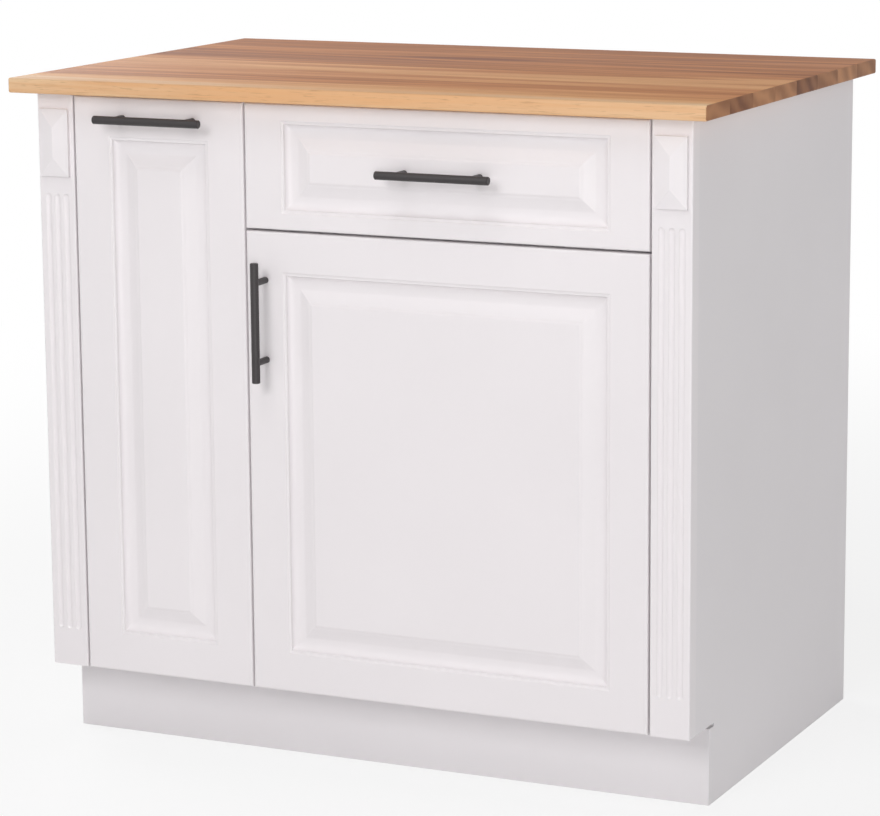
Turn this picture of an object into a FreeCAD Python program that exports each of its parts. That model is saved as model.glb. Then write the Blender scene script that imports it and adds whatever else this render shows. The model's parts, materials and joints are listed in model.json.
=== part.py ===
import FreeCAD, Part
import math
import os

# A kitchen base cabinet: white case, fluted pilasters, pull-out, drawer, hinged door, oak worktop.
# Millimetres, +Z up, +X to the right of a person facing the fronts, fronts facing -Y.
# The origin lies on the floor under the middle of the cabinet's whole box.

V = FreeCAD.Vector
UP = V(0, 0, 1)
RIGHT = V(1, 0, 0)
BACKWARD = V(0, 1, 0)

# Case
case_width = 850.0
case_depth = 560.0
case_height = 813.0
board = 16.0
back_board = 3.0
toe_height = 97.0
toe_depth = 65.0
plinth_top_gap = 4.0
rail_width = 90.0

# Worktop
worktop_thickness = 18.0
worktop_front_overhang = 25.0
worktop_side_overhang = 25.0
worktop_back_overhang = 15.0
worktop_edge_round = 2.0

# Fronts and the gaps round them
front_thickness = 18.0
front_edge_round = 2.0
bumper_gap = 2.0
front_gap = 3.0
side_gap = 2.0
pilaster_width = 49.5
pullout_front_width = 231.0
drawer_front_height = 149.0

# Moulding routed into each front, as distances inward from its outer step and depths
frame_width = 48.0
drawer_rail_width = 20.0
quirk_depth = 1.2
quirk_fillet = 3.5
cove_width = 9.5
valley_depth = 7.5
valley_width = 7.0
bevel_width = 13.0
field_fillet = 2.5
field_step = 1.4
field_step_width = 1.5
cutter_overshoot = 1.0

# Pilasters
flute_count = 3
flute_pitch = 12.5
flute_width = 8.0
flute_depth = 1.8
flute_bottom_margin = 45.0
flute_top_margin = 20.0
cap_side_margin = 5.25
cap_top_margin = 20.0
cap_height = 82.0
cap_edge_thickness = 5.0
cap_rise = 4.0
cap_hip_length = 22.0
cap_ridge_flat = 1.0

# Bar handles
handle_hole_spacing = 96.0
handle_length = 144.0
handle_bar_radius = 5.0
handle_projection = 33.0
handle_post_radius = 4.0
handle_end_chamfer = 0.8
handle_screw_radius = 2.0
handle_screw_head_radius = 4.0
handle_screw_head_height = 1.6
handle_screw_grip = 8.0
handle_drop = 25.0
door_handle_inset = 25.0
door_handle_drop = 58.0

# Telescopic slides, seen end on: distances out from the wall that carries them
slide_length = 450.0
slide_height = 45.0
slide_thickness = 12.7
slide_metal = 1.2
slide_running_gap = 0.3
slide_outer_flange = 6.0
slide_middle_start = 1.6
slide_middle_end = 11.1
slide_inner_flange = 5.4
slide_setback = 2.0

# Drawer box
drawer_side_thickness = 12.0
drawer_bottom_thickness = 6.0
drawer_box_height = 100.0
drawer_box_floor_gap = 7.5
drawer_bottom_drop = 8.0

# Pull-out rack
tray_board = 12.0
rack_floor_gap = 12.0
rack_headroom = 32.0
tray_side_height = 70.0
upper_tray_rise = 315.0
guard_rail_radius = 3.0
guard_rail_inset = 9.0
guard_rail_seat = 6.0
lower_guard_rise = 40.0
upper_guard_rise = 38.0
guard_rail_spacing = 40.0

# Shelf in the door bay
shelf_height = 385.0
shelf_side_gap = 1.0
shelf_setback = 25.0
shelf_pin_radius = 2.5
shelf_pin_hole_gap = 0.05
shelf_pin_seat = 9.0
shelf_pin_reach = 8.0
shelf_pin_inset = 60.0

# Concealed hinges: places are (inward from the door's hinge edge, back from its front face)
hinge_inset = 90.0
door_open_angle = 95.0
hinge_axis_inward = 6.0
hinge_axis_back = 6.0
arm_pin_inward = 25.0
arm_pin_back = 16.0
cup_pin_radius_from_axis = 8.0
link_bend_inward = 14.1
link_bend_back = 10.1
link_half_width = 1.8
link_half_height = 3.0
hinge_pin_radius = 1.5
hinge_pin_gap = 0.05
hinge_side_gap = 0.4
cup_radius = 17.5
cup_depth = 12.0
cup_wall = 1.0
cup_edge_inset = 3.0
cup_flange_thickness = 1.2
cup_flange_width = 19.0
cup_flange_height = 52.0
arm_cheek = 2.0
arm_eye_radius = 3.0
arm_start = 30.0
arm_end = 86.0
arm_width = 10.0
arm_height = 14.0
mounting_plate_thickness = 2.5
mounting_plate_start = 48.0
mounting_plate_length = 44.0
mounting_plate_height = 40.0

# Small fasteners
dowel_radius = 4.0
dowel_length = 30.0
dowel_seat = 10.0
dowel_inset = 60.0
screw_radius = 2.0
screw_head_radius = 4.0
screw_head_height = 2.0
worktop_screw_bite = 10.0
back_screw_bite = 14.0
back_screw_spacing = 200.0
bracket_leg = 30.0
bracket_width = 20.0
bracket_metal = 2.0
bumper_radius = 3.0
bumper_play = 0.2
bumper_inset = 20.0

# Planes worked out from the sizes above
front = (handle_projection - case_depth - worktop_back_overhang) / 2
front_back = front + front_thickness
case_front = front_back + bumper_gap
case_back = front + case_depth
inside_back = case_back - back_board
left = -case_width / 2
right = case_width / 2
bottom_top = toe_height + board
rail_bottom = case_height - board
fronts_top = case_height - front_gap
pullout_left = left + pilaster_width + side_gap
pullout_right = pullout_left + pullout_front_width
door_left = pullout_right + side_gap
door_right = right - pilaster_width - side_gap
drawer_bottom_edge = fronts_top - drawer_front_height
door_top = drawer_bottom_edge - front_gap
left_upright = pullout_left - side_gap / 2
middle_upright = pullout_right + side_gap / 2
right_upright = door_right + side_gap / 2
upright_edge = board / 2
rack_bay = (left_upright + upright_edge, middle_upright - upright_edge)
door_bay = (middle_upright + upright_edge, right_upright - upright_edge)
divider_middle = door_top + front_gap / 2
slide_start = case_front + slide_setback
behind_plinth = front + toe_depth + board
hinge_axis = (hinge_axis_inward, hinge_axis_back)
arm_pin = (arm_pin_inward, arm_pin_back)
link_bend = (link_bend_inward, link_bend_back)
plane_tolerance = 1e-6


def box(x0, x1, y0, y1, z0, z1):
    return Part.makeBox(x1 - x0, y1 - y0, z1 - z0, V(x0, y0, z0))


def cylinder(radius, start, direction, length):
    return Part.makeCylinder(radius, length, start, direction)


def fuse(shapes):
    return shapes[0].multiFuse(shapes[1:]).removeSplitter()


def cut(shape, tools):
    return shape.cut(Part.makeCompound(tools)).removeSplitter()


def edges_at(shape, axis, place):
    """Edges that lie wholly in the plane where this coordinate has this value."""
    def lies_there(vertex):
        return abs(getattr(vertex.Point, axis) - place) < plane_tolerance

    return [e for e in shape.Edges if all(lies_there(v) for v in e.Vertexes)]


def save(name, shape):
    shape.exportStep(os.path.join("parts", name + ".step"))


def save_group(name, solids):
    save(name, Part.makeCompound(solids))


def spread(first, last, largest_step):
    """Evenly spaced places from first to last, no further apart than the step."""
    count = max(1, math.ceil((last - first) / largest_step))
    return [first + (last - first) * i / count for i in range(count + 1)]


# Dowels that tie the bottom panel to the end panels and the uprights to the bottom panel
def dowel_places():
    """Each dowel's start and the way it points."""
    middle = toe_height + board / 2
    places = []
    for y in (case_front + dowel_inset, inside_back - dowel_inset):
        for side, wall in ((-1, left + board), (1, right - board)):
            places.append((V(wall + side * dowel_seat, y, middle), V(-side, 0, 0)))
        for x in (left_upright, middle_upright, right_upright):
            places.append((V(x, y, bottom_top - dowel_seat), UP))
    return places


def dowels():
    return [cylinder(dowel_radius, start, way, dowel_length) for start, way in dowel_places()]


# Case boards
def end_panel(side):
    outer = side * right
    inner = outer - side * board
    x0, x1 = min(outer, inner), max(outer, inner)
    panel = box(x0, x1, case_front, case_back, 0, case_height)
    notch = box(x0, x1, case_front, behind_plinth, 0, toe_height)
    return cut(panel, [notch] + dowels())


def shelf_pin_places():
    ys = (case_front + shelf_setback + shelf_pin_inset, inside_back - shelf_pin_inset)
    z = shelf_height - shelf_pin_radius
    return [(x, side, y, z) for x, side in ((door_bay[0], -1), (door_bay[1], 1)) for y in ys]


def shelf_pin_holes():
    radius = shelf_pin_radius + shelf_pin_hole_gap
    holes = []
    for x, side, y, z in shelf_pin_places():
        holes.append(cylinder(radius, V(x, y, z), V(side, 0, 0), shelf_pin_seat))
    return holes


def shelf_pins():
    length = shelf_pin_seat + shelf_pin_reach
    pins = []
    for x, side, y, z in shelf_pin_places():
        pins.append(cylinder(shelf_pin_radius, V(x - side * shelf_pin_reach, y, z), V(side, 0, 0), length))
    return pins


def upright(x):
    board_solid = box(x - upright_edge, x + upright_edge, case_front, inside_back, bottom_top, case_height)
    return cut(board_solid, shelf_pin_holes() + dowels() + back_screws() + worktop_screws())


def worktop_screw_places():
    places = []
    for bay in (rack_bay, door_bay):
        inset = rail_width / 2
        for x in (bay[0] + inset, bay[1] - inset):
            for y in (case_front + rail_width / 2, inside_back - rail_width / 2):
                places.append(V(x, y, rail_bottom))
    return places


def screw(place, direction, length):
    """A flat-headed screw whose head starts at this place."""
    head = cylinder(screw_head_radius, place, direction, screw_head_height)
    shank = cylinder(screw_radius, place, direction, length)
    return fuse([head, shank])


def worktop_screws():
    length = board + worktop_screw_bite
    return [screw(place, UP, length) for place in worktop_screw_places()]


def back_screw_places():
    xs = [left_upright, middle_upright, right_upright]
    zs = spread(bottom_top + dowel_inset, rail_bottom - dowel_inset, back_screw_spacing)
    return [V(x, case_back, z) for x in xs for z in zs]


def back_screws():
    length = back_board + back_screw_bite
    return [screw(place, -BACKWARD, length) for place in back_screw_places()]


def worktop():
    top = case_height + worktop_thickness
    slab = box(left - worktop_side_overhang, right + worktop_side_overhang,
               front - worktop_front_overhang, case_back + worktop_back_overhang, case_height, top)
    rounded = slab.makeFillet(worktop_edge_round, slab.Edges)
    return cut(rounded, worktop_screws())


def rail(bay, y0, z0):
    return box(bay[0], bay[1], y0, y0 + rail_width, z0, z0 + board)


def bracket(side):
    """An angle bracket that ties the plinth to an end panel."""
    wall = side * (right - board)
    z0 = (toe_height - plinth_top_gap - bracket_width) / 2
    x0, x1 = sorted((wall, wall - side * bracket_leg))
    w0, w1 = sorted((wall, wall - side * bracket_metal))
    z1 = z0 + bracket_width
    on_plinth = box(x0, x1, behind_plinth, behind_plinth + bracket_metal, z0, z1)
    on_panel = box(w0, w1, behind_plinth, behind_plinth + bracket_leg, z0, z1)
    return fuse([on_plinth, on_panel])


def build_case():
    save("worktop", worktop())
    save("left_end_panel", end_panel(-1))
    save("right_end_panel", end_panel(1))
    save("left_inner_side", upright(left_upright))
    save("centre_partition", upright(middle_upright))
    save("right_inner_side", upright(right_upright))
    floor_board = box(left + board, right - board, case_front, inside_back, toe_height, bottom_top)
    save("bottom_panel", cut(floor_board, dowels()))
    back_sheet = box(left + board, right - board, inside_back, case_back, toe_height, case_height)
    save("back_panel", cut(back_sheet, back_screws()))
    for name, bay in (("left", rack_bay), ("right", door_bay)):
        save("front_rail_" + name, cut(rail(bay, case_front, rail_bottom), worktop_screws()))
        save("rear_rail_" + name, cut(rail(bay, inside_back - rail_width, rail_bottom), worktop_screws()))
    save("drawer_divider_rail", rail(door_bay, case_front, divider_middle - board / 2))
    plinth_top = toe_height - plinth_top_gap
    save("plinth_board", box(left, right, front + toe_depth, behind_plinth, 0, plinth_top))
    save("centre_support_board", box(middle_upright - upright_edge, middle_upright + upright_edge,
                                     behind_plinth, inside_back, 0, toe_height))
    save_group("plinth_brackets", [bracket(-1), bracket(1)])
    save("shelf", box(door_bay[0] + shelf_side_gap, door_bay[1] - shelf_side_gap,
                      case_front + shelf_setback, inside_back, shelf_height, shelf_height + board))
    save_group("shelf_pins", shelf_pins())
    save_group("assembly_dowels", dowels())
    save_group("worktop_screws", worktop_screws())
    save_group("back_panel_screws", back_screws())


# Pilasters and their caps
def flute(x, z0, z1):
    """A round-ended groove cut into a pilaster's face."""
    radius = (flute_width ** 2 / 4 + flute_depth ** 2) / (2 * flute_depth)
    y = front - (radius - flute_depth)
    run = cylinder(radius, V(x, y, z0 + radius), UP, z1 - z0 - 2 * radius)
    ends = [Part.makeSphere(radius, V(x, y, z)) for z in (z0 + radius, z1 - radius)]
    return fuse([run] + ends)


def cap_bottom():
    return case_height - cap_top_margin - cap_height


def pilaster(middle):
    half = pilaster_width / 2
    strip = box(middle - half, middle + half, front, case_front, toe_height, case_height)
    long_edges = [e for e in edges_at(strip, "y", front) if e.Length > pilaster_width]
    strip = strip.makeFillet(front_edge_round, long_edges)
    first = middle - flute_pitch * (flute_count - 1) / 2
    z0 = toe_height + flute_bottom_margin
    z1 = cap_bottom() - flute_top_margin
    return cut(strip, [flute(first + i * flute_pitch, z0, z1) for i in range(flute_count)])


def pilaster_cap(middle):
    """A flat block with a hipped face that rises to an upright ridge."""
    half = pilaster_width / 2 - cap_side_margin
    z0 = cap_bottom()
    z1 = z0 + cap_height
    block = box(middle - half, middle + half, front - cap_edge_thickness, front, z0, z1)
    ridge = cap_ridge_flat / 2
    hip = Part.makeWedge(-half, 0, z0, z0 + cap_hip_length, -ridge,
                         half, cap_rise, z1, z1 - cap_hip_length, ridge)
    hip.rotate(V(0, 0, (z0 + z1) / 2), UP, 180)
    hip.translate(V(middle, front - cap_edge_thickness, 0))
    return fuse([block, hip])


def build_pilasters():
    for name, side in (("left", -1), ("right", 1)):
        middle = side * (right - pilaster_width / 2)
        save(name + "_pilaster", pilaster(middle))
        save(name + "_pilaster_cap", pilaster_cap(middle))


# Moulded fronts
def moulding(x0, x1, z0, z1):
    """The routed recess round a raised field, mitred at its corners."""
    def at(inward, depth):
        return V((x0 + x1) / 2, front + depth, z0 + inward)

    cove_end = quirk_fillet + cove_width
    valley_end = cove_end + valley_width
    bevel_end = valley_end + bevel_width
    step_start = bevel_end + field_fillet
    step_end = step_start + field_step_width
    cove_middle = at(quirk_fillet + cove_width * (1 - math.cos(math.pi / 4)),
                     quirk_depth + (valley_depth - quirk_depth) * math.sin(math.pi / 4))
    corners = [at(cove_end, valley_depth), at(valley_end, valley_depth), at(bevel_end, field_step),
               at(step_start, field_step), at(step_end, 0), at(step_end, -cutter_overshoot),
               at(0, -cutter_overshoot), at(0, quirk_depth), at(quirk_fillet, quirk_depth)]
    edges = [Part.LineSegment(a, b).toShape() for a, b in zip(corners, corners[1:])]
    edges.append(Part.Arc(corners[-1], cove_middle, corners[0]).toShape())
    profile = Part.Wire(Part.__sortEdges__(edges))
    middle = V((x0 + x1) / 2, front, z0)
    turns = [V(x, front, z) for x, z in ((x1, z0), (x1, z1), (x0, z1), (x0, z0))]
    path = Part.makePolygon([middle] + turns + [middle])
    mitred = 1
    return path.makePipeShell([profile], True, False, mitred)


def moulded_front(x0, x1, z0, z1, stile, cross_rail):
    blank = box(x0, x1, front, front_back, z0, z1)
    blank = blank.makeFillet(front_edge_round, edges_at(blank, "y", front))
    return blank.cut(moulding(x0 + stile, x1 - stile, z0 + cross_rail, z1 - cross_rail))


# Bar handles
def handle_axis_y():
    return front - handle_projection + handle_bar_radius


def handle_post_places(middle, along):
    return [middle + along * (side * handle_hole_spacing / 2) for side in (-1, 1)]


def plain_bar(middle, along):
    start = V(middle.x, handle_axis_y(), middle.z) - along * (handle_length / 2)
    return cylinder(handle_bar_radius, start, along, handle_length)


def handle_bar(middle, along):
    bar = plain_bar(middle, along)
    rims = [e for e in bar.Edges if isinstance(e.Curve, Part.Circle)]
    return bar.makeChamfer(handle_end_chamfer, rims)


def handle_posts(middle, along):
    bar = plain_bar(middle, along)
    posts = []
    for place in handle_post_places(middle, along):
        post = cylinder(handle_post_radius, place, -BACKWARD, front - handle_axis_y())
        posts.append(post.cut(bar).cut(handle_screw(place)).Solids[0])
    return posts


def handle_screw(place):
    """A machine screw from behind the front into a handle post."""
    back = V(place.x, front_back, place.z)
    head = cylinder(handle_screw_head_radius, back, -BACKWARD, handle_screw_head_height)
    shank = cylinder(handle_screw_radius, back, -BACKWARD, front_thickness + handle_screw_grip)
    return fuse([head, shank])


def handle_screws(middle, along):
    return [handle_screw(place) for place in handle_post_places(middle, along)]


def build_handle(name, middle, along):
    save(name + "_handle_bar", handle_bar(middle, along))
    save_group(name + "_handle_posts", handle_posts(middle, along))
    save_group(name + "_handle_screws", handle_screws(middle, along))


# Telescopic slides
def slide_member(wall, side, z, spans):
    """A pair of flanges and a web, each span being (start, end, lowest, highest) from the wall's face."""
    pieces = []
    for u0, u1, low, high in spans:
        x0, x1 = sorted((wall + side * u0, wall + side * u1))
        pieces.append(box(x0, x1, slide_start, slide_start + slide_length, z + low, z + high))
    return fuse(pieces)


def slide_spans():
    half = slide_height / 2
    step = slide_metal + slide_running_gap
    middle_half = half - step
    inner_half = middle_half - step
    web = (slide_middle_start + slide_middle_end) / 2
    back = slide_thickness
    outer = [(0, slide_metal, -half, half),
             (0, slide_outer_flange, half - slide_metal, half),
             (0, slide_outer_flange, -half, slide_metal - half)]
    centre = [(web - slide_metal / 2, web + slide_metal / 2, -middle_half, middle_half),
              (slide_middle_start, slide_middle_end, middle_half - slide_metal, middle_half),
              (slide_middle_start, slide_middle_end, -middle_half, slide_metal - middle_half)]
    inner = [(back - slide_metal, back, -inner_half, inner_half),
             (back - slide_inner_flange, back, inner_half - slide_metal, inner_half),
             (back - slide_inner_flange, back, -inner_half, slide_metal - inner_half)]
    return {"outers": outer, "middles": centre, "inners": inner}


def build_slides(name, bay, z):
    for member, spans in slide_spans().items():
        pair = [slide_member(bay[0], 1, z, spans), slide_member(bay[1], -1, z, spans)]
        save_group(name + "_slide_" + member, pair)


# Drawer
def build_drawer():
    middle = V((door_left + door_right) / 2, front, drawer_bottom_edge + drawer_front_height / 2)
    screws = handle_screws(middle, RIGHT)
    panel = moulded_front(door_left, door_right, drawer_bottom_edge, fronts_top,
                          frame_width, drawer_rail_width)
    save("drawer_front", cut(panel, screws))
    build_handle("drawer", middle, RIGHT)
    x0 = door_bay[0] + slide_thickness
    x1 = door_bay[1] - slide_thickness
    y0 = front_back
    y1 = slide_start + slide_length
    z0 = divider_middle + board / 2 + drawer_box_floor_gap
    z1 = z0 + drawer_box_height
    inner0 = x0 + drawer_side_thickness
    inner1 = x1 - drawer_side_thickness
    floor = z0 + drawer_bottom_drop
    save("drawer_left_side", box(x0, inner0, y0, y1, z0, z1))
    save("drawer_right_side", box(inner1, x1, y0, y1, z0, z1))
    save("drawer_inner_front", box(inner0, inner1, y0, y0 + drawer_side_thickness, z0, z1))
    save("drawer_back", box(inner0, inner1, y1 - drawer_side_thickness, y1, z0, z1))
    save("drawer_bottom", box(inner0, inner1, y0 + drawer_side_thickness, y1 - drawer_side_thickness,
                              floor, floor + drawer_bottom_thickness))
    build_slides("drawer", door_bay, (z0 + z1) / 2)


# Pull-out rack
def build_pullout():
    middle = V((pullout_left + pullout_right) / 2, front, fronts_top - handle_drop)
    screws = handle_screws(middle, RIGHT)
    panel = moulded_front(pullout_left, pullout_right, toe_height, fronts_top, frame_width, frame_width)
    save("pullout_front", cut(panel, screws))
    build_handle("pullout", middle, RIGHT)
    x0 = rack_bay[0] + slide_thickness
    x1 = rack_bay[1] - slide_thickness
    y0 = front_back
    y1 = slide_start + slide_length
    z0 = bottom_top + rack_floor_gap
    z1 = rail_bottom - rack_headroom
    tray0 = y0 + tray_board
    tray1 = y1 - tray_board
    upper = z0 + upper_tray_rise
    lower_guard = z0 + tray_side_height + lower_guard_rise
    upper_guard = upper + tray_board + upper_guard_rise
    rails = []
    for z in (lower_guard, upper_guard, upper_guard + guard_rail_spacing):
        for x in (x0 + guard_rail_inset, x1 - guard_rail_inset):
            start = V(x, tray0 - guard_rail_seat, z)
            rails.append(cylinder(guard_rail_radius, start, BACKWARD, tray1 - tray0 + 2 * guard_rail_seat))
    save("pullout_inner_front", cut(box(x0, x1, y0, tray0, z0, z1), rails))
    save("pullout_back_board", cut(box(x0, x1, tray1, y1, z0, z1), rails))
    save("pullout_lower_tray", box(x0 + tray_board, x1 - tray_board, tray0, tray1, z0, z0 + tray_board))
    save("pullout_upper_tray", box(x0, x1, tray0, tray1, upper, upper + tray_board))
    sides = [box(x0, x0 + tray_board, tray0, tray1, z0, z0 + tray_side_height),
             box(x1 - tray_board, x1, tray0, tray1, z0, z0 + tray_side_height)]
    save_group("pullout_lower_sides", sides)
    save_group("pullout_guard_rails", rails)
    build_slides("pullout", rack_bay, z0 + tray_side_height / 2)


# Door and its concealed hinges
def hinge_point(place, z):
    """A hinge place, given inward from the door's edge and back from its face, as a point."""
    inward, back = place
    return V(door_right - inward, front + back, z)


def cup_pin():
    """Where the cup's pin lies, so that the link spans the same length closed and open."""
    across = arm_pin[0] - hinge_axis[0]
    back = arm_pin[1] - hinge_axis[1]
    turn = math.atan2(back, across) + math.radians(door_open_angle / 2)
    reach = cup_pin_radius_from_axis
    return hinge_axis[0] + reach * math.cos(turn), hinge_axis[1] + reach * math.sin(turn)


def hinge_heights():
    return (toe_height + hinge_inset, door_top - hinge_inset)


def cup_centre(z):
    return hinge_point((cup_edge_inset + cup_radius, front_thickness), z)


def cup_pocket(z):
    return cylinder(cup_radius, cup_centre(z), -BACKWARD, cup_depth)


def hinge_cup(z):
    """A drawn cup with a screw flange and the two stubs of its pin, open between them for the link."""
    centre = cup_centre(z)
    half = cup_flange_height / 2
    flange = box(centre.x - cup_flange_width / 2, centre.x + cup_flange_width / 2,
                 front_back, front_back + cup_flange_thickness, z - half, z + half)
    inside = cylinder(cup_radius - cup_wall, centre + BACKWARD * cup_flange_thickness,
                      -BACKWARD, cup_depth - cup_wall + cup_flange_thickness)
    shell = fuse([cup_pocket(z), flange]).cut(inside)
    pin = cylinder(hinge_pin_radius, hinge_point(cup_pin(), z - cup_radius), UP, 2 * cup_radius)
    clear = link_half_height + hinge_side_gap
    gap = box(centre.x - cup_radius, centre.x + cup_radius, front, front_back, z - clear, z + clear)
    stubs = pin.common(cup_pocket(z)).cut(gap)
    return fuse([shell] + stubs.Solids)


def strap(start, end, half_width, z0, z1):
    """A round-ended flat bar between two upright pins."""
    run = end - start
    side = V(-run.y, run.x, 0).normalize() * half_width
    base = [V(p.x, p.y, z0) for p in (start + side, end + side, end - side, start - side)]
    plate = Part.Face(Part.makePolygon(base + base[:1])).extrude(UP * (z1 - z0))
    ends = [cylinder(half_width, V(p.x, p.y, z0), UP, z1 - z0) for p in (start, end)]
    return fuse([plate] + ends)


def hinge_link(z):
    """The bent link that reaches round the door's edge from the arm's pin to the cup's pin."""
    pins = [hinge_point(place, z) for place in (arm_pin, link_bend, cup_pin())]
    z0 = z - link_half_height
    z1 = z + link_half_height
    straps = [strap(a, b, link_half_width, z0, z1) for a, b in zip(pins, pins[1:])]
    eye = cylinder(arm_eye_radius, V(pins[0].x, pins[0].y, z0), UP, z1 - z0)
    hole = cylinder(hinge_pin_radius + hinge_pin_gap, V(pins[0].x, pins[0].y, z0), UP, z1 - z0)
    return fuse(straps + [eye]).cut(hole)


def hinge_arm(z):
    """A forked arm with the pin that the link turns on."""
    pin = hinge_point(arm_pin, z)
    plate_face = door_bay[1] - mounting_plate_thickness
    low = z - arm_height / 2
    body = box(plate_face - arm_width, plate_face, front + arm_start, front + arm_end, low, low + arm_height)
    inner = link_half_height + hinge_side_gap
    outer = inner + arm_cheek
    root = V(plate_face - arm_width / 2, front + arm_start + arm_eye_radius, z)
    cheeks = [strap(pin, root, arm_eye_radius, z + a, z + b) for a, b in ((inner, outer), (-outer, -inner))]
    shaft = cylinder(hinge_pin_radius, V(pin.x, pin.y, z - outer), UP, 2 * outer)
    return fuse([body, shaft] + cheeks)


def mounting_plate(z):
    half = mounting_plate_height / 2
    y0 = front + mounting_plate_start
    y1 = y0 + mounting_plate_length
    return box(door_bay[1] - mounting_plate_thickness, door_bay[1], y0, y1, z - half, z + half)


def bumpers():
    x = (door_left + door_bay[0]) / 2
    places = [V(x, front_back, z) for z in (toe_height + bumper_inset, door_top - bumper_inset)]
    return [cylinder(bumper_radius, place, BACKWARD, bumper_gap - bumper_play) for place in places]


def build_door():
    handle_z = door_top - door_handle_drop - handle_hole_spacing / 2
    handle_middle = V(door_left + door_handle_inset, front, handle_z)
    panel = moulded_front(door_left, door_right, toe_height, door_top, frame_width, frame_width)
    pockets = [cup_pocket(z) for z in hinge_heights()]
    save("door_panel", cut(panel, handle_screws(handle_middle, UP) + pockets))
    build_handle("door", handle_middle, UP)
    save_group("door_bumpers", bumpers())
    hinge_pieces = {"cups": hinge_cup, "links": hinge_link, "arms": hinge_arm,
                    "mounting_plates": mounting_plate}
    for name, make in hinge_pieces.items():
        save_group("hinge_" + name, [make(z) for z in hinge_heights()])


os.makedirs("parts", exist_ok=True)
build_case()
build_pilasters()
build_drawer()
build_pullout()
build_door()
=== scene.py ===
import json
import math

import bpy
from mathutils import Matrix, Vector


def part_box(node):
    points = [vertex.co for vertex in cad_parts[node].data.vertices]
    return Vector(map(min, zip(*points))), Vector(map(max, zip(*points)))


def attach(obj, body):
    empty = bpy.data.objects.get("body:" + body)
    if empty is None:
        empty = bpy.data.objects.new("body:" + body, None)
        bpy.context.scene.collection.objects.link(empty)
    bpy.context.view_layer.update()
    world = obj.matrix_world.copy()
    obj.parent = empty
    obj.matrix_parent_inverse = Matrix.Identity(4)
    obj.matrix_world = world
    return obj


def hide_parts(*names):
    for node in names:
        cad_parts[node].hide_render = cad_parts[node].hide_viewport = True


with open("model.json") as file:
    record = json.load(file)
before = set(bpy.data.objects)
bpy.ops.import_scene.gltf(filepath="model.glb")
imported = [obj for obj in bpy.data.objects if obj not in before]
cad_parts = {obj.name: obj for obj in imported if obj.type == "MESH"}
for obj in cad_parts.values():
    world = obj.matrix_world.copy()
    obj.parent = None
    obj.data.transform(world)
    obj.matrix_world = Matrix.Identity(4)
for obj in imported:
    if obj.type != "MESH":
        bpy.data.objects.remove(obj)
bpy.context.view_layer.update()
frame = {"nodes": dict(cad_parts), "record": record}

# The looks of a white kitchen base cabinet with an oak worktop, in metres, in the part's own frame
MM = 0.001


# Small helpers for materials
def linear(hex_colour):
    """An sRGB hex value such as #E8E4E6 as a linear colour."""
    parts = [int(hex_colour[i:i + 2], 16) / 255 for i in (1, 3, 5)]
    return [c / 12.92 if c <= 0.04045 else ((c + 0.055) / 1.055) ** 2.4 for c in parts] + [1.0]


def add(tree, kind, inputs=None, stops=(), **settings):
    """Adds a node with its settings. An input is a value or another node's output, and stops fill a ramp."""
    node = tree.nodes.new("ShaderNode" + kind)
    for name, value in settings.items():
        setattr(node, name, value)
    for place, colour in stops[2:]:
        node.color_ramp.elements.new(place)
    for i, (place, colour) in enumerate(stops):
        node.color_ramp.elements[i].position = place
        node.color_ramp.elements[i].color = linear(colour)
    for socket, value in (inputs or {}).items():
        if isinstance(value, bpy.types.NodeSocket):
            tree.links.new(value, node.inputs[socket])
        else:
            node.inputs[socket].default_value = value
    return node


def new_material(name, **constants):
    """An empty material and its principled surface, with the values that are the same all over."""
    material = bpy.data.materials.new(name)
    material.use_nodes = True
    tree = material.node_tree
    tree.nodes.clear()
    surface = add(tree, "BsdfPrincipled")
    for socket, value in constants.items():
        surface.inputs[socket.replace("_", " ")].default_value = value
    add(tree, "OutputMaterial", {"Surface": surface.outputs["BSDF"]})
    return material, tree, surface


def connect(tree, surface, colour, roughness, relief, strength, depth):
    """Links a surface's colour, roughness and relief, which is this deep and shows at this strength."""
    bump = add(tree, "Bump", {"Height": relief, "Strength": strength, "Distance": depth})
    links = {"Base Color": colour, "Roughness": roughness, "Normal": bump.outputs["Normal"]}
    for socket, value in links.items():
        tree.links.new(value, surface.inputs[socket])


def looked_at(tree):
    """1 where the camera, a mirror or a glass looks at the background, and 0 where it only gives light."""
    rays = add(tree, "LightPath").outputs
    looked = rays["Is Camera Ray"]
    for way in ("Is Glossy Ray", "Is Transmission Ray"):
        looked = add(tree, "Math", {0: looked, 1: rays[way]}, operation="MAXIMUM").outputs[0]
    return looked


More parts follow.
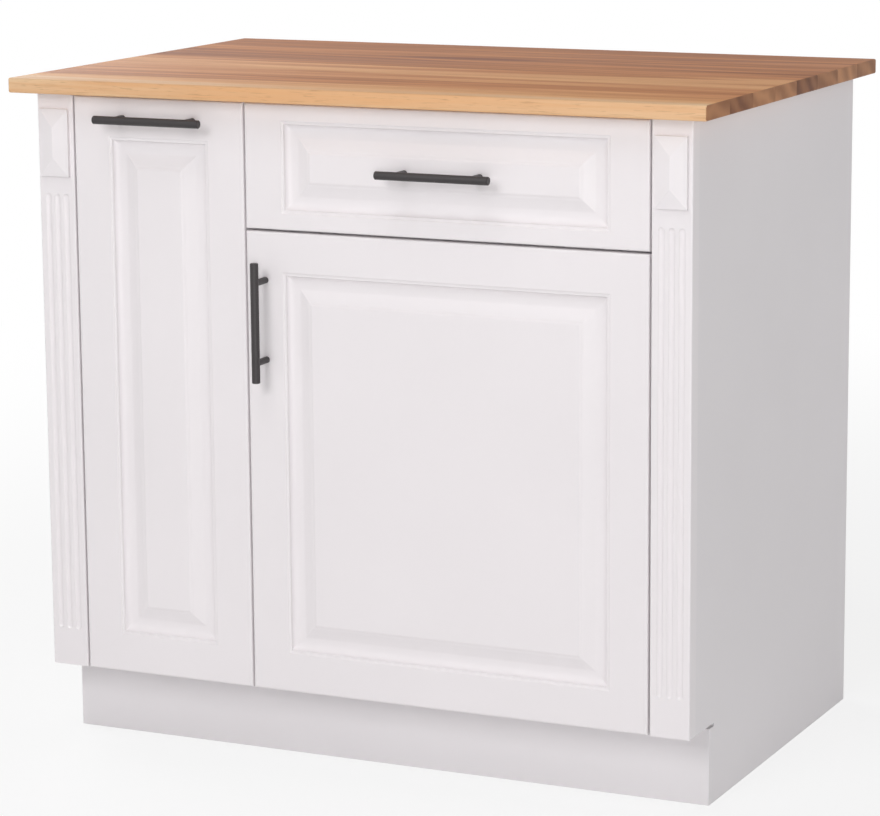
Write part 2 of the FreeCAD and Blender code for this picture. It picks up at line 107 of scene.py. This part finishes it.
# Materials
def oiled_oak():
    """Edge-glued full-length oak staves, planed and oiled: matt pinkish brown in long soft streaks, the
    palest stave at the front and browner ones at the back, with darker end grain."""
    stave_width = 75 * MM
    glue_line = 0.6 * MM
    # Each stave's pattern is taken from another place, up to this far away
    stave_offset = 7.0
    # Real pores are about 0.3 mm across, drawn wider here so that they show
    streak_sizes = {"figure": (800 * MM, 52 * MM), "grain": (240 * MM, 7 * MM), "pores": (26 * MM, 1.3 * MM)}
    streak_form = {"Scale": 1.0, "Detail": 2.0, "Roughness": 0.5, "Distortion": 0.7}
    # Real growth rings are a few millimetres apart, drawn wider here so that they show
    ring_spacing = 31.416 * MM
    ring_form = {"Distortion": 3.0, "Detail": 2.0, "Detail Scale": 2.0}
    # The wave texture's own spacing at a scale of 1
    wave_spacing = 2 * math.pi / 20
    pale_until, pale_end = 6 * MM, 72 * MM
    brown_start, brown_from = 320 * MM, 370 * MM
    low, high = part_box("worktop")
    knot_place = (-25 * MM, low.y + 425 * MM, high.z)
    knot_reach = (150 * MM, 26 * MM, 60 * MM)
    # The first glue line would lie just in front of the panel, so that its front edge is all one stave
    first_stave = low.y - 2 * glue_line
    # How light the plain wood is on its colour ramp, and how far each of these moves it
    plain_level = 0.52
    figure_shade, grain_shade, stave_shade = 0.25, 0.1, 0.045
    knot_shade, front_shade, back_shade = -0.2, 0.25, -0.1
    pore_share, glue_share = 0.25, 0.4
    end_darkest, end_lightest, ring_shade = 0.1, 0.7, 0.35
    # A face is end grain where its normal lies this much sideways
    end_facing = 0.7
    smoothest, roughest = 0.5, 0.68

    material, tree, surface = new_material("oiled_oak_staves", Specular_IOR_Level=0.15)
    place = add(tree, "TexCoord").outputs["Object"]
    across = add(tree, "SeparateXYZ", {"Vector": place}).outputs["Y"]
    inward = add(tree, "Math", {0: across, 1: first_stave}, operation="SUBTRACT").outputs[0]
    stave = add(tree, "Math", {0: inward, 1: stave_width}, operation="DIVIDE").outputs[0]
    row = add(tree, "Math", {0: stave}, operation="FLOOR").outputs[0]
    random = add(tree, "TexWhiteNoise", {"W": row}, noise_dimensions="1D").outputs
    apart = add(tree, "VectorMath", {0: random["Color"], "Scale": stave_offset}, operation="SCALE").outputs[0]
    wood = add(tree, "VectorMath", {0: place, 1: apart}, operation="ADD").outputs[0]
    streaks = {}
    for name, (long, wide) in streak_sizes.items():
        drawn = add(tree, "Mapping", {"Vector": wood, "Scale": (1 / long, 1 / wide, 1 / wide)}).outputs[0]
        streaks[name] = add(tree, "TexNoise", {"Vector": drawn, **streak_form}).outputs["Fac"]
    from_knot = add(tree, "VectorMath", {0: place, 1: knot_place}, operation="SUBTRACT").outputs[0]
    knot_way = add(tree, "VectorMath", {0: from_knot, 1: knot_reach}, operation="DIVIDE").outputs[0]
    knot_distance = add(tree, "VectorMath", {0: knot_way}, operation="LENGTH").outputs["Value"]

    # How light the wood is: its streaks and staves go both ways, and a knot, the front and the back fade out
    level = plain_level
    both_ways = [(streaks["figure"], figure_shade), (streaks["grain"], grain_shade),
                 (random["Value"], stave_shade)]
    for value, shade in both_ways:
        change = add(tree, "MapRange", {"Value": value, "To Min": -shade, "To Max": shade}).outputs[0]
        level = add(tree, "Math", {0: level, 1: change}, operation="ADD").outputs[0]
    fading = [(knot_distance, 0.0, 1.0, knot_shade, 0.0), (inward, pale_until, pale_end, front_shade, 0.0),
              (inward, brown_start, brown_from, 0.0, back_shade)]
    for value, fade_start, fade_end, start_shade, end_shade in fading:
        change = add(tree, "MapRange", {"Value": value, "From Min": fade_start, "From Max": fade_end,
                     "To Min": start_shade, "To Max": end_shade}, interpolation_type="SMOOTHSTEP").outputs[0]
        level = add(tree, "Math", {0: level, 1: change}, operation="ADD").outputs[0]
    long_grain = add(tree, "ValToRGB", {"Fac": level}, stops=[
        (0.30, "#7E492A"), (0.43, "#A76A3F"), (0.50, "#C48455"), (0.63, "#E0AA78"), (0.72, "#DEB085"),
        (0.82, "#E8C59E")]).outputs["Color"]
    pore_dark = add(tree, "ValToRGB", {"Fac": streaks["pores"]}, stops=[
        (0.30, "#7A5230"), (0.42, "#FFFFFF")]).outputs["Color"]
    pored = add(tree, "Mix", {"Factor": pore_share, "A": long_grain, "B": pore_dark},
                data_type="RGBA", blend_type="MULTIPLY").outputs["Result"]

    # End grain: growth rings, which cross each stave at a slant of its own
    ring_place = add(tree, "Mapping", {"Vector": wood, "Scale": (0.0, 1.0, 1.0)}).outputs[0]
    rings = add(tree, "TexWave", {"Vector": ring_place, "Scale": wave_spacing / ring_spacing, **ring_form},
                wave_type="RINGS", rings_direction="X").outputs["Fac"]
    stave_level = add(tree, "MapRange", {"Value": random["Value"], "To Min": end_darkest,
                      "To Max": end_lightest}).outputs[0]
    ring_level = add(tree, "Math", {0: rings, 1: ring_shade, 2: stave_level},
                     operation="MULTIPLY_ADD").outputs[0]
    end_grain = add(tree, "ValToRGB", {"Fac": ring_level}, stops=[
        (0.1, "#714B38"), (0.55, "#9A6C4E"), (1.0, "#BF8C66")]).outputs["Color"]
    normal = add(tree, "NewGeometry").outputs["True Normal"]
    facing = add(tree, "SeparateXYZ", {"Vector": normal}).outputs["X"]
    sideways = add(tree, "Math", {0: facing}, operation="ABSOLUTE").outputs[0]
    is_end = add(tree, "Math", {0: sideways, 1: end_facing}, operation="GREATER_THAN").outputs[0]
    cut_colour = add(tree, "Mix", {"Factor": is_end, "A": pored, "B": end_grain},
                     data_type="RGBA").outputs["Result"]

    # Glue lines between staves
    in_stave = add(tree, "Math", {0: stave}, operation="FRACT").outputs[0]
    glued = add(tree, "Math", {0: in_stave, 1: glue_line / stave_width}, operation="LESS_THAN").outputs[0]
    line_share = add(tree, "Math", {0: glued, 1: glue_share}, operation="MULTIPLY").outputs[0]
    colour = add(tree, "Mix", {"Factor": line_share, "A": cut_colour, "B": linear("#5E3C22")},
                 data_type="RGBA").outputs["Result"]
    roughness = add(tree, "MapRange", {"Value": streaks["grain"], "To Min": smoothest,
                    "To Max": roughest}).outputs[0]
    relief = add(tree, "Math", {0: streaks["grain"], 1: streaks["pores"]}, operation="ADD").outputs[0]
    connect(tree, surface, colour, roughness, relief, strength=0.25, depth=0.15 * MM)
    return material


def white_surface(name, light, dark, peel, peel_depth, roughness_range):
    """A white skin with a slow, barely seen drift of tone and a fine pressed or moulded texture."""
    drift_size = 300 * MM
    material, tree, surface = new_material(name)
    place = add(tree, "TexCoord").outputs["Object"]
    drift = add(tree, "TexNoise", {"Vector": place, "Scale": 1 / drift_size, "Detail": 2.0}).outputs["Fac"]
    fine = add(tree, "TexNoise", {"Vector": place, "Scale": 1 / peel, "Detail": 2.0}).outputs["Fac"]
    colour = add(tree, "ValToRGB", {"Fac": drift}, stops=[(0.3, dark), (0.7, light)]).outputs["Color"]
    low, high = roughness_range
    roughness = add(tree, "MapRange", {"Value": fine, "To Min": low, "To Max": high}).outputs[0]
    connect(tree, surface, colour, roughness, fine, strength=0.3, depth=peel_depth)
    return material


def white_foil():
    """Satin PVC foil pressed over routed fibreboard: smooth, faintly lilac white, with a soft sheen."""
    return white_surface("white_pvc_foil", light="#EBE6E8", dark="#E8E3E5", peel=2.6 * MM,
                         peel_depth=0.03 * MM, roughness_range=(0.34, 0.42))


def white_melamine():
    """Melamine-faced board with a pressed pearl texture, a little duller than the foil."""
    # The real pearl is finer than half a millimetre, drawn coarser here so that it shows
    return white_surface("white_melamine", light="#E8E4E6", dark="#E4E0E2", peel=1.3 * MM,
                         peel_depth=0.05 * MM, roughness_range=(0.42, 0.54))


def hardboard():
    """Hardboard: white lacquer towards the inside, raw brown fibres with a screen print on the back."""
    screen_size = 2.5 * MM
    fibre_size = 4 * MM
    drift_size = 120 * MM
    drift_share = 0.4
    # A face is the raw one where its normal points this much to the back
    back_facing = 0.5
    smoothest, roughest = 0.5, 0.7
    material, tree, surface = new_material("hardboard")
    place = add(tree, "TexCoord").outputs["Object"]
    fibres = add(tree, "TexNoise", {"Vector": place, "Scale": 1 / fibre_size, "Detail": 5.0}).outputs["Fac"]
    drift = add(tree, "TexNoise", {"Vector": place, "Scale": 1 / drift_size, "Detail": 2.0}).outputs["Fac"]
    both = add(tree, "Mix", {"Factor": drift_share, "A": fibres, "B": drift}).outputs["Result"]
    raw = add(tree, "ValToRGB", {"Fac": both}, stops=[
        (0.3, "#7D5C40"), (0.5, "#93704F"), (0.7, "#A88562")]).outputs["Color"]
    white = add(tree, "ValToRGB", {"Fac": drift}, stops=[(0.3, "#E1DEDE"), (0.7, "#E7E4E4")]).outputs["Color"]
    normal = add(tree, "NewGeometry").outputs["True Normal"]
    facing = add(tree, "SeparateXYZ", {"Vector": normal}).outputs["Y"]
    is_back = add(tree, "Math", {0: facing, 1: back_facing}, operation="GREATER_THAN").outputs[0]
    colour = add(tree, "Mix", {"Factor": is_back, "A": white, "B": raw}, data_type="RGBA").outputs["Result"]
    screen = add(tree, "TexChecker", {"Vector": place, "Scale": 1 / screen_size}).outputs["Fac"]
    relief = add(tree, "Math", {0: screen, 1: fibres}, operation="ADD").outputs[0]
    roughness = add(tree, "MapRange", {"Value": fibres, "To Min": smoothest, "To Max": roughest}).outputs[0]
    connect(tree, surface, colour, roughness, relief, strength=0.2, depth=0.1 * MM)
    return material


def drawn_finish(name, light, dark, streak, roughness_range, metallic):
    """A hard finish with faint streaks or flecks, so long and so wide, along the cabinet's depth."""
    material, tree, surface = new_material(name, Metallic=metallic)
    long, wide = streak
    place = add(tree, "TexCoord").outputs["Object"]
    drawn = add(tree, "Mapping", {"Vector": place, "Scale": (1 / wide, 1 / long, 1 / wide)}).outputs[0]
    streaks = add(tree, "TexNoise", {"Vector": drawn, "Scale": 1.0, "Detail": 3.0}).outputs["Fac"]
    colour = add(tree, "ValToRGB", {"Fac": streaks}, stops=[(0.3, dark), (0.7, light)]).outputs["Color"]
    low, high = roughness_range
    roughness = add(tree, "MapRange", {"Value": streaks, "To Min": low, "To Max": high}).outputs[0]
    connect(tree, surface, colour, roughness, streaks, strength=0.15, depth=0.02 * MM)
    return material


def black_powder_coat():
    """Graphite-black powder coat on steel: satin, with a very fine grain."""
    # The real grain is about a quarter of a millimetre, drawn coarser here so that it shows
    grit = 0.9 * MM
    return drawn_finish("graphite_powder_coat", light="#342F30", dark="#292526", streak=(grit, grit),
                        roughness_range=(0.38, 0.48), metallic=0.0)


def zinc_steel():
    """Bright zinc-plated pressed steel, rolled along its length."""
    # Real rolling marks are finer than this, drawn coarser here so that they show
    return drawn_finish("zinc_plated_steel", light="#C9CBCC", dark="#B2B4B6", streak=(60 * MM, 1.2 * MM),
                        roughness_range=(0.26, 0.40), metallic=1.0)


def nickel_steel():
    """Nickel-plated stamped steel, slightly warm and a little brighter than zinc."""
    return drawn_finish("nickel_plated_steel", light="#D2CCC2", dark="#B9B2A8", streak=(8 * MM, 3 * MM),
                        roughness_range=(0.18, 0.30), metallic=1.0)


def chromed_wire():
    """Bright chromed wire, nearly a mirror."""
    return drawn_finish("chromed_wire", light="#DEE0E3", dark="#D2D5D9", streak=(30 * MM, 4 * MM),
                        roughness_range=(0.06, 0.12), metallic=1.0)


def beech():
    """Turned beech: pale pinkish wood with short darker flecks."""
    return drawn_finish("beech", light="#D7B48C", dark="#C39B70", streak=(3 * MM, 0.8 * MM),
                        roughness_range=(0.5, 0.62), metallic=0.0)


def clear_bumper():
    """Soft clear polyurethane: a small dome that light passes through."""
    cloud_size = 2 * MM
    smoothest, roughest = 0.12, 0.25
    material, tree, surface = new_material("clear_polyurethane", Transmission_Weight=0.8)
    place = add(tree, "TexCoord").outputs["Object"]
    cloud = add(tree, "TexNoise", {"Vector": place, "Scale": 1 / cloud_size, "Detail": 2.0}).outputs["Fac"]
    colour = add(tree, "ValToRGB", {"Fac": cloud}, stops=[
        (0.3, "#E4E6E8"), (0.7, "#F2F3F4")]).outputs["Color"]
    roughness = add(tree, "MapRange", {"Value": cloud, "To Min": smoothest, "To Max": roughest}).outputs[0]
    connect(tree, surface, colour, roughness, cloud, strength=0.1, depth=0.02 * MM)
    return material


finishes = {
    "oiled_oak": oiled_oak(),
    "white_foil_mdf": white_foil(),
    "white_melamine_board": white_melamine(),
    "white_hardboard": hardboard(),
    "black_satin_steel": black_powder_coat(),
    "zinc_plated_steel": zinc_steel(),
    "nickel_plated_steel": nickel_steel(),
    "chromed_wire": chromed_wire(),
    "beech": beech(),
    "clear_bumper": clear_bumper(),
}
slot_of = {part["node"]: part["material_slot"] for part in frame["record"]["subparts"]}
for name, node in frame["nodes"].items():
    node.data.materials.clear()
    node.data.materials.append(finishes[slot_of[name]])


# Modelling helpers
hole_facets = 48
smooth_below = 35
moulding_smooth_below = 50
# A face looks squarely along an axis where its normal lies this much along it
squarely = 0.99


def start_clean(*picked):
    """Leaves edit mode with only these pieces selected, the first one active."""
    if bpy.context.mode != "OBJECT":
        bpy.ops.object.mode_set(mode="OBJECT")
    bpy.ops.object.select_all(action="DESELECT")
    for piece in picked:
        piece.select_set(True)
    if picked:
        bpy.context.view_layer.objects.active = picked[0]


def select_faces(piece, wanted):
    """In edit mode, selects the faces whose centre and normal pass this test."""
    bpy.ops.mesh.select_all(action="DESELECT")
    bpy.ops.object.mode_set(mode="OBJECT")
    for face in piece.data.polygons:
        face.select = wanted(face.center, face.normal)
    bpy.ops.object.mode_set(mode="EDIT")
    bpy.ops.mesh.select_mode(type="FACE")


def block(name, low, high):
    """A box primitive between two corners, with its place in its mesh."""
    start_clean()
    bpy.ops.mesh.primitive_cube_add(size=1, location=(low + high) / 2)
    piece = bpy.context.object
    piece.name = name
    piece.scale = high - low
    bpy.ops.object.transform_apply(location=True, rotation=True, scale=True)
    return piece


def apply_modifier(piece, kind, **settings):
    """Gives a piece a modifier with these settings and applies it."""
    start_clean(piece)
    modifier = piece.modifiers.new(kind.lower(), kind)
    for key, value in settings.items():
        setattr(modifier, key, value)
    bpy.ops.object.modifier_apply(modifier=modifier.name)


def bore(piece, mouth, radius, depth, along):
    """Drills a flat-bottomed hole of this depth into a face, at its mouth, along one axis."""
    turns = {"X": (0, math.pi / 2, 0), "Y": (math.pi / 2, 0, 0)}
    start_clean()
    bpy.ops.mesh.primitive_cylinder_add(vertices=hole_facets, radius=radius, depth=2 * depth, location=mouth,
                                        rotation=turns[along])
    drill = bpy.context.object
    bpy.ops.object.transform_apply(location=True, rotation=True, scale=True)
    apply_modifier(piece, "BOOLEAN", object=drill, operation="DIFFERENCE", solver="EXACT")
    bpy.data.objects.remove(drill)


def finish_piece(piece, slot, body, smooth_angle):
    """Smooths a new piece up to this angle in degrees, and gives it its finish and the body it moves with."""
    start_clean(piece)
    bpy.ops.object.shade_smooth_by_angle(angle=math.radians(smooth_angle))
    piece.data.materials.clear()
    piece.data.materials.append(finishes[slot])
    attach(piece, body)


# Worktop
def eased_worktop():
    """The oak panel with its sharp edges taken off."""
    ease = 2 * MM
    ease_segments = 3
    low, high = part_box("worktop")
    worktop = block("worktop_eased", low, high)
    apply_modifier(worktop, "BEVEL", width=ease, segments=ease_segments)
    finish_piece(worktop, "oiled_oak", "carcass", smooth_below)
    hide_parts("worktop")


# Moulded fronts
edge_round = 2 * MM
edge_segments = 4
crease = 0.6 * MM
quirk_depth = 1.2 * MM
quirk_fillet = 3.5 * MM
cove_width = 9.5 * MM
cove_steps = 7
valley_depth = 7.5 * MM
valley_width = 7 * MM
bevel_width = 13 * MM
field_fillet = 2.5 * MM
field_step = 1.4 * MM
field_step_width = 1.5 * MM
field_margin = 2 * MM
stile = 48 * MM
rail_of = {"pullout_front": stile, "drawer_front": 20 * MM, "door_panel": stile}


def moulding_profile():
    """(inward, depth) points from the frame's flat to the raised field, with softened creases."""
    cove_end = quirk_fillet + cove_width
    bevel_start = cove_end + valley_width
    bevel_end = bevel_start + bevel_width
    step_start = bevel_end + field_fillet
    field_start = step_start + field_step_width
    slope = (valley_depth - field_step) / bevel_width
    points = [(-2 * crease, 0), (-crease, 0), (0, crease / 2), (crease / 2, quirk_depth - crease / 4),
              (crease, quirk_depth), (quirk_fillet - crease, quirk_depth)]
    for i in range(cove_steps + 1):
        turn = math.pi / 2 * i / cove_steps
        points.append((cove_end - cove_width * math.cos(turn),
                       quirk_depth + (valley_depth - quirk_depth) * math.sin(turn)))
    points += [
        (bevel_start - 2 * crease, valley_depth),
        (bevel_start + 2 * crease, valley_depth - 2 * crease * slope),
        (bevel_end - crease, field_step + crease * slope),
        (bevel_end + crease, field_step),
        (step_start - crease / 2, field_step),
        (field_start - crease / 2, crease / 3),
        (field_start + crease, 0),
        (field_start + crease + field_margin, 0),
    ]
    return points


def select_mitres(front):
    """In edit mode, selects the moulding's mitre lines: the only edges that run both across and up."""
    straight_within = crease / 100
    bpy.ops.mesh.select_mode(type="EDGE")
    bpy.ops.mesh.select_all(action="DESELECT")
    bpy.ops.object.mode_set(mode="OBJECT")
    points = front.data.vertices
    for edge in front.data.edges:
        run = points[edge.vertices[0]].co - points[edge.vertices[1]].co
        edge.select = min(abs(run.x), abs(run.z)) > straight_within
    bpy.ops.object.mode_set(mode="EDIT")


def moulded_front(node_name):
    """A front with rounded edges whose moulding is inset step by step into its face."""
    low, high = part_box(node_name)
    front = block(node_name + "_moulded", low, high)
    bpy.ops.object.mode_set(mode="EDIT")
    select_faces(front, lambda centre, normal: normal.y < -squarely)
    bpy.ops.mesh.bevel(offset=edge_round, segments=edge_segments, affect="EDGES")
    select_faces(front, lambda centre, normal: normal.y < -squarely and centre.y < low.y + edge_round / 4)
    # Two thin rings keep the flat of the frame flat, and the inner one then goes to where the moulding starts
    bpy.ops.mesh.inset(thickness=edge_round, use_even_offset=True)
    bpy.ops.mesh.inset(thickness=crease, use_even_offset=True)
    ring = 2 * (2 * edge_round + crease)
    width, height = high.x - low.x, high.z - low.z
    start_width = width - 2 * (stile - 2 * crease)
    start_height = height - 2 * (rail_of[node_name] - 2 * crease)
    bpy.ops.transform.resize(value=(start_width / (width - ring), 1, start_height / (height - ring)))
    points = moulding_profile()
    for (inward0, depth0), (inward1, depth1) in zip(points, points[1:]):
        bpy.ops.mesh.inset(thickness=inward1 - inward0, depth=depth0 - depth1, use_even_offset=True)
    select_mitres(front)
    bpy.ops.mesh.mark_sharp()
    start_clean()
    return front


def door_pockets(door):
    """Bores the pockets for the hinge cups and the sunk heads of the handle's screws in the door's back."""
    half_flange = 26 * MM
    cup_play, head_play = 0.05 * MM, 0.25 * MM
    head_depth = 4 * MM
    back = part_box("door_panel")[1].y
    low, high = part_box("hinge_cups")
    cup_radius = (high.x - low.x) / 2
    for height in (low.z + half_flange, high.z - half_flange):
        bore(door, (low.x + cup_radius, back, height), cup_radius + cup_play, back - low.y + cup_play, "Y")
    low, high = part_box("door_handle_screws")
    head_radius = (high.x - low.x) / 2
    for height in (low.z + head_radius, high.z - head_radius):
        bore(door, (low.x + head_radius, back, height), head_radius + head_play, head_depth, "Y")


# Boards with rows of holes for the shelf's pins
def bored_side(node_name, inner_face_is_left):
    """A side of the cupboard with two rows of pin holes, the shelf's own places among them."""
    hole_spacing = 32 * MM
    holes_each_way = 4
    hole_depth = 11 * MM
    low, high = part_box(node_name)
    board = block(node_name + "_bored", low, high)
    pins_low, pins_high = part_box("shelf_pins")
    pin_radius = (pins_high.z - pins_low.z) / 2
    face = low.x if inner_face_is_left else high.x
    for y in (pins_low.y + pin_radius, pins_high.y - pin_radius):
        for step in range(-holes_each_way, holes_each_way + 1):
            z = pins_low.z + pin_radius + step * hole_spacing
            bore(board, (face, y, z), pin_radius, hole_depth, "X")
    finish_piece(board, "white_melamine_board", "carcass", smooth_below)
    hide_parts(node_name)


# Screw heads on the hinges
def pan_heads(name, seats, turn, body):
    """Pan-head screws with a round driving recess, one modelled and the others copied, seated on a plate."""
    radius, height, head_facets = 3.2 * MM, 1.5 * MM, 24
    rim, rim_segments = 0.7 * MM, 3
    recess_inset, recess_depth, recess_taper = 1.1 * MM, 0.8 * MM, 0.1 * MM
    start_clean()
    bpy.ops.mesh.primitive_cylinder_add(vertices=head_facets, radius=radius, depth=height,
                                        location=(0, 0, height / 2))
    head = bpy.context.object
    bpy.ops.object.transform_apply(location=True, rotation=True, scale=True)
    bpy.ops.object.mode_set(mode="EDIT")
    select_faces(head, lambda centre, normal: normal.z > squarely)
    bpy.ops.mesh.bevel(offset=rim, segments=rim_segments, affect="EDGES")
    select_faces(head, lambda centre, normal: normal.z > squarely)
    bpy.ops.mesh.inset(thickness=recess_inset, use_even_offset=True)
    bpy.ops.mesh.inset(thickness=recess_taper, depth=-recess_depth, use_even_offset=True)
    start_clean()
    heads = []
    for seat in seats:
        copy = head.copy()
        copy.data = head.data.copy()
        bpy.context.scene.collection.objects.link(copy)
        copy.location, copy.rotation_euler = seat, turn
        heads.append(copy)
    bpy.data.objects.remove(head)
    start_clean(*heads)
    bpy.ops.object.transform_apply(location=True, rotation=True, scale=True)
    bpy.ops.object.join()
    heads[0].name = name
    finish_piece(heads[0], "nickel_plated_steel", body, smooth_below)


def hinge_screws():
    """Two screws on each hinge's mounting plate and two on each cup's flange."""
    plate_height = 40 * MM
    plate_screw_reach = 14.5 * MM
    flange_screw_reach = 22 * MM
    facing_left, facing_back = (0, -math.pi / 2, 0), (-math.pi / 2, 0, 0)
    low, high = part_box("hinge_mounting_plates")
    middles = (low.z + plate_height / 2, high.z - plate_height / 2)
    plate_middle = (low.y + high.y) / 2
    plate_seats = [(low.x, plate_middle, z + side * plate_screw_reach) for z in middles for side in (-1, 1)]
    pan_heads("hinge_plate_screws", plate_seats, facing_left, "carcass")
    low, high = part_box("hinge_cups")
    cup_middle = (low.x + high.x) / 2
    flange_seats = [(cup_middle, high.y, z + side * flange_screw_reach) for z in middles for side in (-1, 1)]
    pan_heads("hinge_cup_screws", flange_seats, facing_back, "door")


# The pieces, each with the body that it moves with
eased_worktop()
fronts = {"pullout_front": "pullout", "drawer_front": "drawer", "door_panel": "door"}
for node_name, body in fronts.items():
    front = moulded_front(node_name)
    if node_name == "door_panel":
        door_pockets(front)
    finish_piece(front, "white_foil_mdf", body, moulding_smooth_below)
    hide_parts(node_name)
bored_side("right_inner_side", inner_face_is_left=True)
bored_side("centre_partition", inner_face_is_left=False)
hinge_screws()


# Floor, light and camera
def pale_floor():
    """A wide pale floor that keeps the cabinet's shadow and turns to white far away."""
    reach = 60.0
    fade_start, fade_end = 0.9, 3.2
    near_white, far_white = 0.8, 1.0
    start_clean()
    bpy.ops.mesh.primitive_plane_add(size=reach)
    floor = bpy.context.object
    floor.name = "studio_floor"
    material = bpy.data.materials.new("pale_studio_floor")
    material.use_nodes = True
    tree = material.node_tree
    tree.nodes.clear()
    place = add(tree, "TexCoord").outputs["Object"]
    distance = add(tree, "VectorMath", {0: place}, operation="LENGTH").outputs["Value"]
    fade = add(tree, "MapRange", {"Value": distance, "From Min": fade_start, "From Max": fade_end,
               "To Min": near_white, "To Max": far_white}, interpolation_type="SMOOTHSTEP").outputs[0]
    share = add(tree, "Math", {0: fade, 1: looked_at(tree)}, operation="MULTIPLY").outputs[0]
    matt = add(tree, "BsdfDiffuse", {"Color": linear("#E8E8E8")}).outputs[0]
    glow = add(tree, "Emission", {"Color": linear("#FFFFFF"), "Strength": 1.0}).outputs[0]
    mixed = add(tree, "MixShader", {0: share, 1: matt, 2: glow}).outputs[0]
    add(tree, "OutputMaterial", {"Surface": mixed})
    floor.data.materials.append(material)


def soft_world(level, overhead):
    """A surround that lights the cabinet less from overhead than from round about, seen as plain white."""
    white = 1.0
    world = bpy.data.worlds.new("studio")
    bpy.context.scene.world = world
    world.use_nodes = True
    tree = world.node_tree
    tree.nodes.clear()
    way = add(tree, "TexCoord").outputs["Generated"]
    height = add(tree, "SeparateXYZ", {"Vector": way}).outputs["Z"]
    light = add(tree, "MapRange", {"Value": height, "To Min": level, "To Max": overhead}).outputs[0]
    strength = add(tree, "Mix", {"Factor": looked_at(tree), "A": light, "B": white}).outputs["Result"]
    surround = add(tree, "Background", {"Color": linear("#FFFFFF"), "Strength": strength}).outputs[0]
    add(tree, "OutputWorld", {"Surface": surround})


def soft_box(name, azimuth, elevation, distance, size, power):
    """A square soft light, so far from the middle of the cabinet and aimed at it; azimuth 0 is in front."""
    middle = Vector((0, 0, 450 * MM))
    turn, rise = math.radians(azimuth), math.radians(elevation)
    away = Vector((math.sin(turn) * math.cos(rise), -math.cos(turn) * math.cos(rise), math.sin(rise)))
    lamp = bpy.data.lights.new(name, "AREA")
    lamp.size = size
    lamp.energy = power
    light = bpy.data.objects.new(name, lamp)
    light.location = middle + away * distance
    light.rotation_euler = away.to_track_quat("Z", "Y").to_euler()
    bpy.context.scene.collection.objects.link(light)


def photo_camera():
    """The photograph's viewpoint, worked out from the edges of the cabinet in it."""
    place = Vector((1758.6, -3767.0, 1219.4)) * MM
    yaw, pitch, roll = math.radians(25.22), math.radians(11.08), math.radians(-0.45)
    image_width = 880
    focal_pixels = 3376.7
    camera = bpy.data.cameras.new("photo_camera")
    camera.lens = focal_pixels * camera.sensor_width / image_width
    viewer = bpy.data.objects.new("photo_camera", camera)
    aim = Matrix.Rotation(yaw, 4, "Z") @ Matrix.Rotation(math.pi / 2 - pitch, 4, "X")
    viewer.matrix_world = Matrix.Translation(place) @ aim @ Matrix.Rotation(roll, 4, "Z")
    bpy.context.scene.collection.objects.link(viewer)
    bpy.context.scene.camera = viewer


pale_floor()
soft_world(level=0.25, overhead=0.15)
soft_box("high_front", azimuth=0, elevation=60, distance=4.5, size=1.6, power=39)
soft_box("middle_front", azimuth=0, elevation=25, distance=4.5, size=1.6, power=60)
soft_box("low_front", azimuth=25, elevation=3, distance=4.5, size=1.0, power=40)
soft_box("right_side", azimuth=95, elevation=14, distance=3.6, size=2.4, power=28)
soft_box("behind", azimuth=240, elevation=25, distance=3.6, size=2.4, power=66)
photo_camera()
bpy.context.scene.view_settings.view_transform = "Standard"
